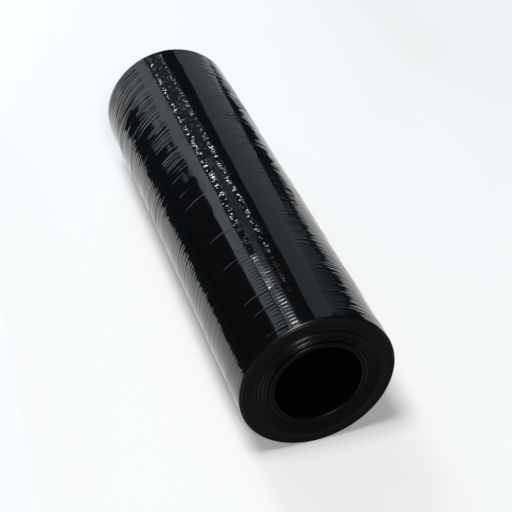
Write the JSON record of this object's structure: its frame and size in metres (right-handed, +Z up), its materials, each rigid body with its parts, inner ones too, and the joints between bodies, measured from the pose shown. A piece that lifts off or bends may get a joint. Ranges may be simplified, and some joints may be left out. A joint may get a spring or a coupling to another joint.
{
  "type": "stretch wrap roll",
  "caption": "Wound roll of glossy black stretch film on a hollow core, lying on a small flat spot; the open core takes a dispenser's spindle.",
  "frame": {"origin": "middle of the flat spot under the roll, on the surface that it lies on", "axes": "+Y along the roll's axis towards its rear end, +Z up, +X to the right seen from the front end"},
  "size_m": [0.1352, 0.46, 0.1346],
  "materials": {
    "stretch_film": "glossy black blown film, wound tight",
    "core_plastic": "black extruded tube, low sheen"
  },
  "bodies": {
    "root": {"film_roll": "stretch_film", "core_tube": "core_plastic"}
  },
  "joints": []
}
